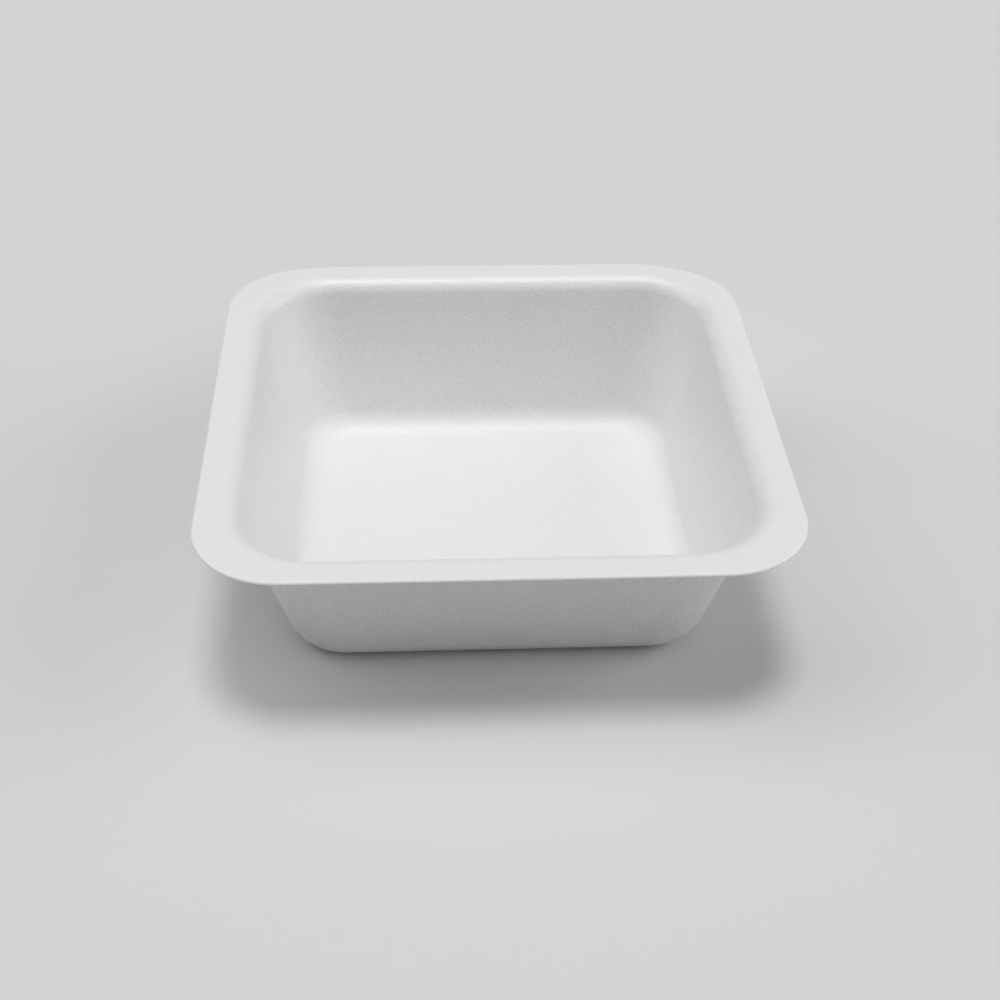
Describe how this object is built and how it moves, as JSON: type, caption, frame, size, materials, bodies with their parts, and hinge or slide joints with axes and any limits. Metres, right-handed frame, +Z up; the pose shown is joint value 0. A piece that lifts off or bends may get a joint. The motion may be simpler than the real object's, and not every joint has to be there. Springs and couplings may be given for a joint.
{
  "type": "weighing dish",
  "caption": "Square tapered dish of thin white plastic with a flat rounded flange, for holding and pouring a weighed sample.",
  "frame": {"origin": "centre of the floor's underside, the face that the dish rests on", "axes": "+Z up out of the mouth, X and Y square to the flange's straight sides"},
  "size_m": [0.08, 0.08, 0.024],
  "materials": {
    "dish_plastic": "white impact polystyrene sheet, satin, with the fine grain of the forming tool"
  },
  "bodies": {
    "root": {"dish": "dish_plastic"}
  },
  "joints": []
}
